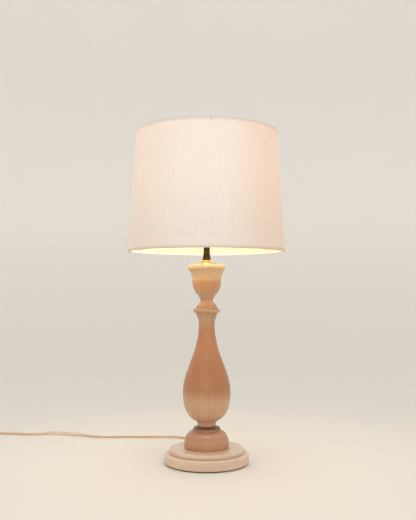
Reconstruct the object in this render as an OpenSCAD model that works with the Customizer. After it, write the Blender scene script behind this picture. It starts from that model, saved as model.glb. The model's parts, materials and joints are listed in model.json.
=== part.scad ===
// Table lamp: turned wood column on a stepped round base, brass fittings, keyed screw
// socket with bulb, removable harp, and a tapered drum shade held by a finial.
// Origin: centre of the underside. +Z up, front towards -Y, lead leaves at the back (+Y).

/* [Shade] */
// Outside diameter at the bottom edge, over the trim
shade_bottom_d = 300; // [280:1:320]
// Outside diameter at the top edge, over the trim
shade_top_d = 272; // [256:1:290]
// Height of the bottom edge above the table
shade_low = 399.5; // [396:0.5:405]
// Height of the shade, edge to edge
shade_h = 229.5; // [225:0.5:235]
// Width of the edge trim on the outside
trim_w = 5; // [3:0.5:8]
// Radius of the wire in the rings and arms
wire_r = 1.6; // [1.2:0.1:2]

/* [Base] */
// Diameter of the lower base plate
plinth_d = 159.6; // [150:0.2:170]
// Height of the top of the lower base plate
plinth_top = 20.4; // [20:0.1:22]
// Diameter of the upper base plate
step_d = 142; // [132:1:148]
// Height of the top of the upper base plate
step_top = 29; // [28:0.5:32]
// Thickness of the felt underneath
felt_t = 2; // [1:0.5:3]

/* [Column] */
// Widest radius of the bun above the base plates
bun_r = 43; // [40:0.5:46]
// Widest radius of the vase body
belly_r = 45.4; // [44:0.2:50]
// Height of the widest point of the vase body
belly_z = 132; // [126:1:138]
// Radius of the vase body's neck
neck_r = 15.3; // [14:0.1:17]
// Widest radius of the bead above the neck
bead_r = 25.8; // [24:0.2:28]
// Widest radius of the cup rim
cup_r = 35.7; // [34:0.1:38]
// Height of the flat top of the cup
cup_top = 375.5; // [373:0.5:376]

/* [Socket and bulb] */
// Height of the seat of the harp saddle
saddle_z = 411; // [410:0.5:412]
// Radius of the threaded lamp pipe
pipe_r = 4.9; // [4.8:0.05:5]
// Radius of the bore of the lamp pipe
pipe_bore_r = 3.5; // [3.3:0.1:3.6]
// Widest radius of the bulb
bulb_r = 30; // [28:0.5:32]
// Overall length of the bulb
bulb_len = 108; // [106:1:110]

/* [Harp] */
// Height of the middle of the harp's top wire
harp_top = 604; // [603:0.5:605]
// Half of the harp's greatest width, to the middle of the wire
harp_half = 55; // [52:1:58]

/* [Lead] */
// Width of the flat twin lead
lead_w = 5.6; // [5.4:0.1:5.8]

/* [Hidden] */
$fn = 96;

// Colours
wood = "#c79a6d";
dark_wood = "#5d3f28";
brass = "#b8963e";
steel = "#b9bbbd";
gold_lead = "#c9a862";
linen = "#f3dcc4";
trim_grey = "#b9aab4";

// Bores and clearances
bore_r = 5.2;          // hole through every turned piece for the pipe
recess_r = 18;         // wiring recess under the base plates
lead_z = 11;           // height of the lead's hole through the base
lead_r = lead_w / 2;
gap = 0.05;            // between pieces glued or pressed together

// Shade: outside of the fabric at height z, and the layers inside it
fabric_t = 0.6;
liner_t = 0.8;
trim_t = 0.5;
shade_high = shade_low + shade_h;
function fabric_r(z) = (shade_bottom_d / 2 - trim_t - gap)
    + (shade_top_d - shade_bottom_d) / 2 * (z - shade_low) / shade_h;
function liner_r(z) = fabric_r(z) - fabric_t - gap;
function inside_r(z) = liner_r(z) - liner_t;
ring_inset = 2.3;      // from an edge of the shade to the middle of its wire ring
ring_low = shade_low + ring_inset;
ring_high = shade_high - ring_inset;

// Points on an arc, and on a cubic curve through its two ends
function arc(x, z, r, a, b, n = 8) =
    [for (i = [0:n]) let (t = a + (b - a) * i / n) [x + r * cos(t), z + r * sin(t)]];
function curve(a, b, c, d, n = 14) =
    [for (i = [0:n]) let (t = i / n, u = 1 - t)
        u * u * u * a + 3 * u * u * t * b + 3 * u * t * t * c + t * t * t * d];
function rest(v) = [for (i = [1:len(v) - 1]) v[i]];

module turned(hole, low, high, outline) {
    rotate_extrude() polygon(concat([[hole, low]], outline, [[hole, high]]));
}

module disc(r, low, high, hole = 0, edge = 0.6) {
    rotate_extrude() polygon([[hole, low], [r - edge, low], [r, low + edge],
                              [r, high - edge], [r - edge, high], [hole, high]]);
}

module tube(r, hole, low, high) {
    difference() {
        translate([0, 0, low]) cylinder(r = r, h = high - low);
        translate([0, 0, low - 1]) cylinder(r = hole, h = high - low + 2);
    }
}

// ---- Base and column ----

module felt_pad() {
    color("#2e2a28") cylinder(r = plinth_d / 2 - 3, h = felt_t);
}

screw_pcd = 27;        // distance of each base screw from the axis
screw_low = 7;
screw_high = 47;
head_r = 4.4;
head_h = 3;
BASE_SCREWS = [30, 150, 270];

module screw_holes(r) {
    for (a = BASE_SCREWS) rotate(a) translate([screw_pcd, 0, 0]) cylinder(r = r, h = screw_high + 0.5);
}

module lower_plinth() {
    r = plinth_d / 2;
    top_round = 4;
    low_round = 2;
    color(wood) difference() {
        turned(recess_r, felt_t, plinth_top, concat(
            arc(r - low_round, felt_t + low_round, low_round, -90, 0, 5),
            arc(r - top_round, plinth_top - top_round, top_round, 0, 90, 8)));
        translate([0, 0, lead_z]) rotate([-90, 0, 0]) cylinder(r = 4.5, h = r);
        translate([0, 60, lead_z]) rotate([-90, 0, 0]) cylinder(r = 6.2, h = r);
        screw_holes(2.4);
        for (a = BASE_SCREWS) rotate(a) translate([screw_pcd, 0, 0]) {
            cylinder(r = head_r + 0.3, h = screw_low);
            translate([0, 0, screw_low]) cylinder(r1 = head_r + 0.3, r2 = 2.4, h = head_h);
        }
    }
}

module upper_plinth() {
    r = step_d / 2;
    groove = 1.2;
    round = 3.2;
    color(wood) difference() {
        turned(recess_r, plinth_top, step_top, concat(
            [[r - groove, plinth_top], [r - groove, plinth_top + 1.2], [r, plinth_top + 2]],
            arc(r - round, step_top - round, round, 0, 90, 7)));
        screw_holes(2.4);
    }
}

module base_screws() {
    color(steel) for (a = BASE_SCREWS) rotate(a) translate([screw_pcd, 0, screw_low]) {
        cylinder(r = 2.1, h = screw_high - screw_low);
        cylinder(r1 = head_r, r2 = 2.1, h = head_h);
    }
}

lip_low = 61.9;
lip_top = 65;
lip_r = 26.2;
nut_seat = 34;         // underside of the washer's seat in the bun

module bun() {
    lip_round = (lip_top - lip_low) / 2;
    color(wood) difference() {
        turned(bore_r, step_top, lip_top, concat(
            curve([bun_r - 0.6, step_top], [bun_r + 1.4, 38], [40.5, 57.5],
                  [lip_r + 2.4, lip_low - 0.9]),
            [[lip_r + 0.2, lip_low - 1.5], [lip_r - 1.4, lip_low - 0.8]],
            arc(lip_r - lip_round, lip_low + lip_round, lip_round, -90, 90, 6)));
        translate([0, 0, step_top - 1]) cylinder(r = 14, h = nut_seat - step_top + 1);
        screw_holes(2.15);
    }
}

cove_top = 70.2;
foot_top = 71.9;

module cove_ring() {
    rim = 25;
    color(dark_wood) turned(bore_r, lip_top, cove_top, concat(
        [[rim - 0.3, lip_top], [rim, lip_top + 0.3], [rim, lip_top + 1.9]],
        curve([rim - 0.4, lip_top + 2.3], [19.5, 67.6], [17, 68], [16.7, cove_top], 10)));
}

module foot_ring() {
    half = (foot_top - cove_top) / 2;
    color(wood) turned(bore_r, cove_top, foot_top,
        arc(16.9, cove_top + half, half, -90, 90, 5));
}

vase_top = 278.5;

module vase_body() {
    color(wood) turned(bore_r, foot_top, vase_top, concat(
        curve([17.2, foot_top], [17.2, 76.5], [19.3, 79.4], [23.5, 81.2], 8),
        rest(curve([23.5, 81.2], [33.5, 85.5], [belly_r, 101], [belly_r, belly_z], 16)),
        rest(curve([belly_r, belly_z], [belly_r, 175], [neck_r, 207], [neck_r, 260], 24)),
        rest(curve([neck_r, 260], [neck_r, 270], [17, 273], [19.4, vase_top], 8))));
}

bead_top = 297;

module bead_ring() {
    collar = bead_r - 6.1;
    color(wood) turned(bore_r, vase_top, bead_top, concat(
        [[collar - 0.5, vase_top], [collar, vase_top + 0.5], [collar, 283.1]],
        arc(bead_r - 4.3, 287.5, 4.3, -90, 90, 12),
        [[collar, 291.9], [collar, bead_top - 0.6], [collar - 0.6, bead_top]]));
}

module cup() {
    rim = 6.25;
    color(wood) turned(bore_r, bead_top, cup_top, concat(
        curve([18.4, bead_top], [15.5, 300.5], [12, 303], [11.8, 306.6], 8),
        rest(curve([11.8, 306.6], [12.2, 310.5], [13.6, 312.6], [15.4, 313.2], 5)),
        [[15.4, 316]],
        rest(curve([15.4, 316], [23.3, 322.5], [27.1, 331], [27.5, 343], 12)),
        rest(curve([27.5, 343], [27.9, 353], [29.4, 358.5], [cup_r - 2.7, cup_top - 11.4], 6)),
        rest(arc(cup_r - rim, cup_top - rim, rim, -56, 90, 12))));
}

// ---- Pipe and its fasteners ----

pipe_low = 26;
pipe_top = 419;

module lamp_pipe() {
    color(steel) tube(pipe_r, pipe_bore_r, pipe_low, pipe_top);
}

module pipe_washer() {
    color(steel) tube(12, bore_r, nut_seat - 1.5, nut_seat);
}

module pipe_nut() {
    nut_h = 5;
    color(steel) difference() {
        translate([0, 0, nut_seat - 1.5 - nut_h]) cylinder(r = 8.3, h = nut_h, $fn = 6);
        translate([0, 0, nut_seat - 10]) cylinder(r = pipe_r + gap, h = 12);
    }
}

// ---- Lead inside the lamp ----

exit_y = 108;
lead_bend = 12;        // radius of the turn up into the pipe
lead_top = 424;

module cord_bushing() {
    flange_y = plinth_d / 2 + 0.1;
    color("#3a2c22") translate([0, 0, lead_z]) rotate([-90, 0, 0])
        rotate_extrude() polygon([[2.9, 62], [6.1, 62], [6.1, flange_y], [8.5, flange_y],
            [8.5, flange_y + 2], [6.6, flange_y + 3], [4, exit_y], [2.9, exit_y]]);
}

module cord_inside() {
    color(gold_lead) {
        translate([0, lead_bend, lead_z]) rotate([-90, 0, 0])
            cylinder(r = lead_r, h = exit_y - lead_bend - gap);
        translate([0, lead_bend, lead_z + lead_bend]) rotate([0, 90, 0]) rotate(-90)
            rotate_extrude(angle = 90) translate([lead_bend, 0]) circle(r = lead_r, $fn = 32);
        translate([0, 0, lead_z + lead_bend])
            cylinder(r = lead_r, h = lead_top - lead_z - lead_bend);
    }
}

// ---- Brass stack under the socket ----

flange_top = 378;
step_ring_top = 380.2;
polished_top = 383.6;

module flange_cap() {
    color(brass) disc(18.1, cup_top, flange_top, bore_r);
}

module step_ring() {
    color(brass) disc(11.9, flange_top, step_ring_top, bore_r, 0.5);
}

module polished_ring() {
    half = (polished_top - step_ring_top) / 2;
    color(brass) turned(bore_r, step_ring_top, polished_top,
        arc(9.8 - half, step_ring_top + half, half, -90, 90, 8));
}

module tapered_neck() {
    color(brass) turned(bore_r - 0.2, polished_top, saddle_z,
        curve([8.3, polished_top], [7.1, 389], [5.9, 398], [5.8, saddle_z], 12));
}

// ---- Harp saddle ----

saddle_t = 1.6;
arm_x = 27;            // inside face of each upright
ledge_z = 423.5;       // top of the ledge that the harp's foot stands on

module harp_saddle() {
    color(brass) difference() {
        union() {
            translate([-arm_x - saddle_t, -6, saddle_z])
                cube([2 * (arm_x + saddle_t), 12, saddle_t]);
            for (s = [0, 1]) mirror([s, 0, 0]) {
                translate([arm_x, -5, saddle_z]) cube([saddle_t, 10, ledge_z - saddle_z]);
                translate([arm_x, -1.5, saddle_z]) cube([saddle_t, 3, 434 - saddle_z]);
                translate([arm_x, -2.5, ledge_z - saddle_t]) cube([5.4, 5, saddle_t]);
            }
        }
        translate([0, 0, saddle_z - 1]) cylinder(r = 5.1, h = 4);
    }
}

// ---- Socket ----

cap_low = saddle_z + saddle_t;
boss_top = 419;
cap_rim = 431.5;
shell_top = 476;
core_low = 430;
core_top = 446;
key_z = 439;           // height of the turn key's axis

module socket_cap() {
    color(brass) difference() {
        rotate_extrude() polygon(concat(
            [[pipe_r + gap, cap_low], [7.6, cap_low], [7.6, boss_top]],
            rest(curve([7.6, boss_top], [9, 423.5], [17.9, 421.5], [17.9, 430], 10)),
            [[17.9, cap_rim], [17.2, cap_rim]],
            curve([17.2, 430], [17.2, 423.5], [8.6, 425], [7, 421], 10),
            [[7, 420], [pipe_r + gap, 420]]));
        translate([0, 0, cap_low + 3]) rotate([0, 90, 45]) cylinder(r = 1.25, h = 12);
    }
}

module cap_screw() {
    color(steel) translate([0, 0, cap_low + 3]) rotate([0, 90, 45])
        translate([0, 0, pipe_r + 0.1]) {
            cylinder(r = 1.2, h = 3.2);
            translate([0, 0, 3.2]) cylinder(r = 2, h = 1.4);
        }
}

module socket_shell() {
    color(brass) difference() {
        rotate_extrude() polygon([[16.2, 429.2], [16.9, 429.2], [16.9, 431.8], [18.2, 432.6],
            [18.2, 469], [18.9, 473], [18.9, 475], [18.5, shell_top], [17.9, shell_top],
            [17.5, 474.5], [17.5, 433], [16.2, 432.2]]);
        translate([0, 0, key_z]) rotate([90, 0, 0]) cylinder(r = 4, h = 30);
    }
}

module socket_liner() {
    color("#6b4a2e") difference() {
        tube(17.3, 16.5, 433.2, 474);
        translate([0, 0, key_z]) rotate([90, 0, 0]) cylinder(r = 3.6, h = 30);
    }
}

module socket_core() {
    color("#2a1c17") difference() {
        translate([0, 0, core_low]) cylinder(r = 15.8, h = core_top - core_low);
        translate([-5, -4, core_low - 1]) cube([10, 9, 14]);
        translate([0, 0, key_z]) rotate([90, 0, 0]) cylinder(r = 1.66, h = 20);
        for (s = [-1, 1]) {
            translate([s * 13, 0, 438]) rotate([0, s * 90, 0]) cylinder(r = 4.2, h = 5);
            translate([s * 7, 0, 438]) rotate([0, s * 90, 0]) cylinder(r = 1.55, h = 8);
            translate([s * 9, 8, core_low - 1]) cylinder(r = 1.6, h = 20);
        }
    }
}

module screw_shell() {
    color(brass) {
        tube(13.8, 13.3, core_top + 0.5, 469.5);
        tube(13.8, 8, core_top, core_top + 0.6);
    }
}

module center_contact() {
    leaf_r = 8;
    color(brass) translate([0, 2, core_top - 4.2]) rotate([90, 0, 0])
        linear_extrude(4) polygon(concat(arc(0, 0, leaf_r, 35, 145, 12),
                                         arc(0, 0, leaf_r - 0.5, 145, 35, 12)));
}

module terminal_screws() {
    color(brass) for (s = [-1, 1]) translate([s * 7.5, 0, 438]) rotate([0, s * 90, 0]) {
        cylinder(r = 1.5, h = 5.6);
        translate([0, 0, 5.6]) cylinder(r = 3.2, h = 2);
    }
}

// The two conductors of the lead, split above the pipe and led up into the core
module socket_leads() {
    conductor_r = 1.1;
    color(gold_lead) for (s = [-1, 1])
        sweep(path([[s * 1.4, 0, lead_top], [s * 3, 4, 426.4], [s * 6.5, 8.6, 428],
                    [s * 9, 8, 431.5], [s * 9, 8, 436]], 2), conductor_r, [0, 1, 0]);
}

module switch_shaft() {
    color(brass) translate([0, -4.2, key_z]) rotate([90, 0, 0]) cylinder(r = 1.6, h = 25.8);
}

module switch_cam() {
    color("#d8cfc0") translate([0, 3, key_z]) rotate([90, 0, 0]) {
        cylinder(r = 2.6, h = 7);
        translate([-3.2, -1, 1]) cube([6.4, 2, 5]);
    }
}

module switch_key() {
    color("#2a1c17") translate([0, -26, key_z]) rotate([90, 0, 0]) difference() {
        union() {
            cylinder(r1 = 3.2, r2 = 2.8, h = 5);
            translate([-6.5, -1.6, 4]) cube([13, 3.2, 8]);
            translate([-6.5, 0, 4]) cylinder(r = 1.6, h = 8);
            translate([6.5, 0, 4]) cylinder(r = 1.6, h = 8);
        }
        translate([0, 0, -1]) cylinder(r = 1.62, h = 5.2);
    }
}

// ---- Bulb ----

bulb_low = 450;
base_top = 476;
bulb_high = bulb_low + bulb_len;
thread_pitch = 3.63;

module bulb_contact() {
    color(steel) rotate_extrude()
        polygon(concat([[0, bulb_low]], rest(curve([0, bulb_low], [2, bulb_low],
            [3.4, bulb_low + 0.3], [3.6, bulb_low + 1.2], 6)), [[0, bulb_low + 1.2]]));
}

module bulb_insulator() {
    color("#1b1b1d") rotate_extrude() polygon([[0, bulb_low + 1.2], [4.4, bulb_low + 1.2],
        [10.5, 455], [10.5, 456.2], [0, 456.2]]);
}

module bulb_base() {
    color("#c9cbce") rotate_extrude() polygon(concat(
        [[10.55, 455], [11.4, 455], [12.3, 456.6]],
        [for (i = [0:32]) [12.68 + 0.3 * cos(360 * i / 8), 457.4 + i * thread_pitch / 8]],
        [[12.9, 473.4], [12.9, base_top], [12.2, base_top], [11.9, 457], [10.55, 456.3]]));
}

module bulb_glass() {
    wall = 0.8;
    widest = bulb_high - bulb_r;
    color([1, 0.97, 0.9]) rotate_extrude() polygon(concat(
        [[11.8, 471], [11.8, base_top + 0.3], [13.2, base_top + 1.2]],
        rest(curve([13.2, base_top + 1.2], [14, 494], [bulb_r, 503], [bulb_r, widest], 16)),
        rest(arc(0, widest, bulb_r, 0, 90, 18)),
        [[0, bulb_high - wall]],
        rest(arc(0, widest, bulb_r - wall, 90, 0, 18)),
        rest(curve([bulb_r - wall, widest], [bulb_r - wall, 503.4], [13.2, 494.2],
                   [12.4, base_top + 1.6], 16)),
        [[11, base_top + 0.6], [11, 471]]));
}

stem_shoulder = 489; // height where the filament's wires leave the stem

module bulb_stem() {
    color([0.9, 0.95, 0.95]) rotate_extrude() polygon(concat(
        [[0, 471], [10.9, 471], [10.9, 472]],
        curve([10.4, 472.4], [5, 474], [4.4, 480], [4, stem_shoulder], 6),
        [[1.8, stem_shoulder], [1.6, 509]], arc(0, 511, 2.4, -40, 90, 6)));
}

module bulb_filament() {
    coil_z = 522;
    half = 13;
    color("#b98a3a") {
        for (s = [-1, 1]) translate([s * 2.6, 0, stem_shoulder + 0.15]) rotate([0, s * 17.4, 0])
            cylinder(r = 0.35, h = 34.4);
        translate([-half, 0, coil_z]) rotate([0, 90, 0]) cylinder(r = 0.8, h = 2 * half);
    }
}

// ---- Harp ----

harp_wire = 1.6;
foot_x = 30.3;         // middle of the harp's wire where it stands in the saddle
bend_z = 452;          // where the wire leaves the vertical
flare_r = 25;
side_r = 86;
flare = 40;            // angle of the wire from the vertical between its two bends
top_r = 45;
side_x = foot_x + flare_r * (1 - cos(flare));
side_z = bend_z + flare_r * sin(flare);
wide_x = side_x + side_r * (1 - cos(flare));
wide_z = side_z + side_r * sin(flare);

// Middle of the wire from its right foot to the top, as [x, z]
HARP_HALF = concat(
    [[foot_x, ledge_z + 0.2]],
    arc(foot_x + flare_r, bend_z, flare_r, 180, 180 - flare, 5),
    rest(arc(wide_x - side_r, wide_z, side_r, -flare, 0, 8)),
    arc(wide_x - top_r, harp_top - top_r, top_r, 0, 90, 10));
HARP_PATH = concat(
    [for (p = HARP_HALF) [p[0], 0, p[1]]],
    [for (i = [len(HARP_HALF) - 1:-1:0]) [-HARP_HALF[i][0], 0, HARP_HALF[i][1]]]);

module harp_bow() {
    color(brass) difference() {
        union() {
            sweep(HARP_PATH, harp_wire, [0, 1, 0], 12);
            translate([0, 0, harp_top - harp_wire]) cylinder(r = 5, h = 2 * harp_wire);
        }
        translate([0, 0, harp_top - 3]) cylinder(r = 2, h = 6);
    }
}

seat_z = harp_top + harp_wire + 1.8;   // face that the shade's hub sits on

module harp_stud() {
    color(brass) {
        translate([0, 0, harp_top - harp_wire - 2]) cylinder(r = 3.2, h = 2);
        translate([0, 0, harp_top - 3]) cylinder(r = 1.95, h = 6);
        translate([0, 0, harp_top + harp_wire]) cylinder(r = 6.5, h = 1.8);
        translate([0, 0, seat_z]) cylinder(r = 3.1, h = 11);
    }
}

module sleeve(side) {
    color(brass) translate([side * (foot_x - 0.8), 0, 0]) difference() {
        disc(4.3, ledge_z + 0.1, ledge_z + 14, 0, 0.4);
        translate([0, 0, ledge_z - 1]) cylinder(r = 3.6, h = 20);
    }
}

module harp_sleeve_left() { sleeve(-1); }
module harp_sleeve_right() { sleeve(1); }

// ---- Shade ----

collar_low = seat_z + 1.1;
hub_top = seat_z + 3.8;

module spider_hub() {
    color(brass) difference() {
        union() {
            translate([0, 0, seat_z]) cylinder(r = 15, h = 1);
            translate([0, 0, seat_z]) cylinder(r = 11.2, h = hub_top - seat_z);
        }
        translate([0, 0, seat_z - 1]) cylinder(r = 3.5, h = 8);
    }
}

arm_r = 1.25;
ARMS = [90, 210, 330];

module spider_arms() {
    arm_low = collar_low + 1.2;
    inner = 14.5;
    outer = inside_r(ring_high) - 2 * wire_r - 0.3;
    rise = ring_high - arm_low;
    color(brass) {
        tube(15.6, 11.26, collar_low, collar_low + 2.5);
        for (a = ARMS) rotate(a) translate([inner, 0, arm_low])
            rotate([0, 90 - atan(rise / (outer - inner)), 0])
                cylinder(r = arm_r, h = norm([rise, outer - inner]));
    }
}

module wire_ring(z) {
    color(steel) rotate_extrude() translate([inside_r(z) - wire_r - 0.1, z])
        circle(r = wire_r, $fn = 24);
}

module top_ring() { wire_ring(ring_high); }
module bottom_ring() { wire_ring(ring_low); }

module shade_liner() {
    low = shade_low + trim_t + gap;
    high = shade_high - trim_t - gap;
    color("#fbf3e6") rotate_extrude() polygon([[inside_r(low), low], [liner_r(low), low],
        [liner_r(high), high], [inside_r(high), high]]);
}

module shade_fabric() {
    low = shade_low + trim_t + gap;
    high = shade_high - trim_t - gap;
    color(linen) rotate_extrude() polygon([[fabric_r(low) - fabric_t, low],
        [fabric_r(low), low], [fabric_r(high), high], [fabric_r(high) - fabric_t, high]]);
}

module liner_seam() {
    low = shade_low + 8;
    high = shade_high - 8;
    color("#f0e4d2") rotate(88) rotate_extrude(angle = 4) polygon([
        [inside_r(low) - 0.5, low], [inside_r(low) - gap, low],
        [inside_r(high) - gap, high], [inside_r(high) - 0.5, high]]);
}

// Tape folded over an edge: outer leaf, edge and inner leaf inside the wire ring
module trim(edge, s) {
    leaf = edge + s * trim_w;
    turn = edge + s * trim_t;
    in_edge = inside_r(edge) - 2 * wire_r - 0.3;
    out_edge = fabric_r(edge) + gap;
    out_leaf = fabric_r(leaf) + gap;
    color(trim_grey) rotate_extrude() polygon([[in_edge - trim_t, edge],
        [out_edge + trim_t, edge], [out_leaf + trim_t, leaf], [out_leaf, leaf],
        [out_edge, turn], [in_edge, turn], [in_edge, leaf], [in_edge - trim_t, leaf]]);
}

// The inner leaf of the top trim is slit where each arm reaches the ring
module top_trim() {
    slit = arm_r + 0.35;
    difference() {
        trim(shade_high, -1);
        for (a = ARMS) rotate(a) translate([inside_r(shade_high) - 8, -slit, shade_high - trim_w - 1])
            cube([6, 2 * slit, trim_w - ring_inset + 1 + slit]);
    }
}

module bottom_trim() { trim(shade_low, 1); }

finial_low = hub_top + 0.1;

module finial_base() {
    color(brass) difference() {
        rotate_extrude() polygon([[0, finial_low], [6.5, finial_low], [6.5, finial_low + 1.4],
            [5, finial_low + 2.2], [4.4, finial_low + 7.4], [0, finial_low + 7.4]]);
        translate([0, 0, finial_low - 1]) cylinder(r = 3.16, h = 10);
    }
}

module finial_knob() {
    ball = 4.6;
    low = finial_low + 7.4;
    color(brass) rotate_extrude() polygon(concat([[0, low], [3, low]],
        arc(0, low + 4.2, ball, -46, 90, 16)));
}

// ---- Free lead, on the table ----

coil_x = -520;
coil_y = 232;
coil_mid_r = 33.5;
coil_turns = 3;        // turns side by side in each of the coil's two layers
layer_h = lead_w + 0.2;
turn_t = 3;            // pitch of the turns outwards
tie_t = 0.8;
coil_low = tie_t;
coil_high = coil_low + 2 * layer_h;
coil_half = coil_turns * turn_t / 2;
coil_out_r = coil_mid_r + coil_half;

// Route of the lead from the bushing to the coil
ROUTE = [[0, 108, 11], [0, 122, 10], [-1, 138, 6], [-5, 158, 2.9], [-16, 184, 2.9],
    [-36, 208, 2.9], [-64, 224, 2.9], [-100, 229, 2.9], [-140, 228, 2.9], [-180, 230, 2.9],
    [-220, 228, 2.9], [-250, 232, 2.9], [-280, 246, 2.9], [-310, 256, 2.9],
    [-340, 264, 2.9], [-372, 261, 2.9], [-404, 258, 2.9], [-436, 264, 2.9],
    [-468, 269, 2.9], [-494, 269, 3.2], [-508, 268.6, 3.6]];
// Route from the coil to the plug
TAIL = [[-557, 224, 8.6], [-558, 208, 6.4], [-555, 192, 4.6], [-550, 178, 4.4],
    [-548, 168, 4.4]];

// Point at fraction t between points i and i + 1 of a route, on a smooth curve through it
function at(v, i) = v[max(0, min(len(v) - 1, i))];
function smooth(v, i, t) = 0.5 * (2 * at(v, i) + (at(v, i + 1) - at(v, i - 1)) * t
    + (2 * at(v, i - 1) - 5 * at(v, i) + 4 * at(v, i + 1) - at(v, i + 2)) * t * t
    + (3 * at(v, i) - at(v, i - 1) - 3 * at(v, i + 1) + at(v, i + 2)) * t * t * t);
function path(v, n) = concat([for (i = [0:len(v) - 2]) for (k = [0:n - 1]) smooth(v, i, k / n)],
                             [v[len(v) - 1]]);
function unit(v) = v / norm(v);
function heading(p, k) = unit(at(p, k + 1) - at(p, k - 1));

module sweep(p, r, up, sides = 8) {
    last = len(p) - 1;
    points = [for (k = [0:last]) let (t = heading(p, k), s = unit(cross(up, t)),
                                      u = cross(t, s))
        for (i = [0:sides - 1]) p[k] + r * (cos(360 * i / sides) * s
                                            + sin(360 * i / sides) * u)];
    walls = [for (k = [0:last - 1]) for (i = [0:sides - 1])
        let (a = k * sides + i, b = k * sides + (i + 1) % sides)
        each [[a, a + sides, b], [b, a + sides, b + sides]]];
    ends = [[for (i = [0:sides - 1]) i],
            [for (i = [sides - 1:-1:0]) last * sides + i]];
    polyhedron(points, concat(walls, ends), convexity = 10);
}

module cord_run() { color(gold_lead) sweep(path(ROUTE, 2), lead_r, [0, 0, 1]); }
module cord_tail() { color(gold_lead) sweep(path(TAIL, 1), lead_r, [0, 0, 1]); }

module cord_coil() {
    round = 2;
    color(gold_lead) translate([coil_x, coil_y, 0]) rotate_extrude() polygon(concat(
        arc(coil_out_r - round, coil_high - round, round, 0, 90, 4),
        arc(coil_mid_r - coil_half + round, coil_high - round, round, 90, 180, 4),
        arc(coil_mid_r - coil_half + round, coil_low + round, round, 180, 270, 4),
        arc(coil_out_r - round, coil_low + round, round, 270, 360, 4)));
}

module coil_tie() {
    tie_w = 6;
    half = coil_half + 0.3;
    color("#26221f") translate([coil_x + coil_mid_r, coil_y + tie_w / 2, 0])
        rotate([90, 0, 0]) difference() {
            translate([-half - tie_t, 0, 0])
                cube([2 * (half + tie_t), coil_high + 0.3 + tie_t, tie_w]);
            translate([-half, tie_t - 0.1, -1])
                cube([2 * half, coil_high + 0.4 - tie_t, tie_w + 2]);
        }
}

// Plug lying flat beside the coil, blades towards -Y
plug_x = -548;
plug_back = 168;
plug_t = 12;
plug_len = 30;

module plug_body() {
    color("#4a3524") translate([plug_x, plug_back, plug_t / 2]) rotate([90, 0, 0]) {
        hull() {
            translate([0, 0, 9]) linear_extrude(plug_len - 9) offset(r = 3, $fn = 32)
                square([20, plug_t - 6], center = true);
            translate([0, -1.6, 0]) linear_extrude(1) offset(r = 2.4, $fn = 32)
                square([5, 4], center = true);
        }
    }
}

module plug_blades() {
    color(brass) for (s = [-1, 1])
        translate([plug_x + s * 6.35, plug_back - plug_len + 6, plug_t / 2])
            rotate([90, 0, 0]) translate([-0.75, s > 0 ? -3.95 : -3.15, 0])
                cube([1.5, s > 0 ? 7.9 : 6.3, 6 + 17]);
}

felt_pad();
lower_plinth();
upper_plinth();
base_screws();
bun();
cove_ring();
foot_ring();
vase_body();
bead_ring();
cup();
lamp_pipe();
pipe_washer();
pipe_nut();
cord_bushing();
cord_inside();
flange_cap();
step_ring();
polished_ring();
tapered_neck();
harp_saddle();
socket_cap();
cap_screw();
socket_shell();
socket_liner();
socket_core();
screw_shell();
center_contact();
terminal_screws();
socket_leads();
switch_shaft();
switch_cam();
switch_key();
bulb_contact();
bulb_insulator();
bulb_base();
bulb_glass();
bulb_stem();
bulb_filament();
harp_bow();
harp_stud();
harp_sleeve_left();
harp_sleeve_right();
spider_hub();
spider_arms();
top_ring();
bottom_ring();
shade_liner();
shade_fabric();
liner_seam();
top_trim();
bottom_trim();
finial_base();
finial_knob();
cord_run();
cord_coil();
cord_tail();
coil_tie();
plug_body();
plug_blades();
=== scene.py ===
"""Looks for the table lamp: lacquered turned wood, brass fittings, lit linen shade, gold twin lead."""

import json
import math

import bpy
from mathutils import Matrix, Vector


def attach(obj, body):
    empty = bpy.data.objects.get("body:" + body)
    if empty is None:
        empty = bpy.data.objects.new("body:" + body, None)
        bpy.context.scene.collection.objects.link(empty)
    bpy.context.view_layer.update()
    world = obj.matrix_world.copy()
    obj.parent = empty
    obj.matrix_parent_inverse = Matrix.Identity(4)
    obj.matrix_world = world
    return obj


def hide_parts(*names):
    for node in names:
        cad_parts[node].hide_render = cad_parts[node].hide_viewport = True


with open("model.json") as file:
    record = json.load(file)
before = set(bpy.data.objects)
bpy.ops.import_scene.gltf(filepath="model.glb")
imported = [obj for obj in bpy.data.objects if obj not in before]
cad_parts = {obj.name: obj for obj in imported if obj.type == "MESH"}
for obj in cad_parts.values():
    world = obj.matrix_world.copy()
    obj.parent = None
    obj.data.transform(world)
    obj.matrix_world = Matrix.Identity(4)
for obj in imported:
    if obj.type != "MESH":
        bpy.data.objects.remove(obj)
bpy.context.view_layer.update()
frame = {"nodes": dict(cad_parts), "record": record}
MM = 0.001


# ---- Camera ----

camera_data = bpy.data.cameras.new("camera")
camera_data.lens = 49.65
camera_data.sensor_width = 36
camera = bpy.data.objects.new("camera", camera_data)
camera.location = (0.0025, -1.372, 0.3266)
camera.rotation_euler = (math.radians(92.4), 0, 0)
bpy.context.scene.collection.objects.link(camera)
bpy.context.scene.camera = camera


# ---- Mesh tools (lengths in millimetres until the mesh is made) ----

def arc(x, z, r, start, end, steps):
    angles = [math.radians(start + (end - start) * i / steps) for i in range(steps + 1)]
    return [(x + r * math.cos(a), z + r * math.sin(a)) for a in angles]


def ease(t):
    t = min(max(t, 0.0), 1.0)
    return t * t * (3 - 2 * t)


def between(a, b, t):
    return a + (b - a) * t


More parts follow.
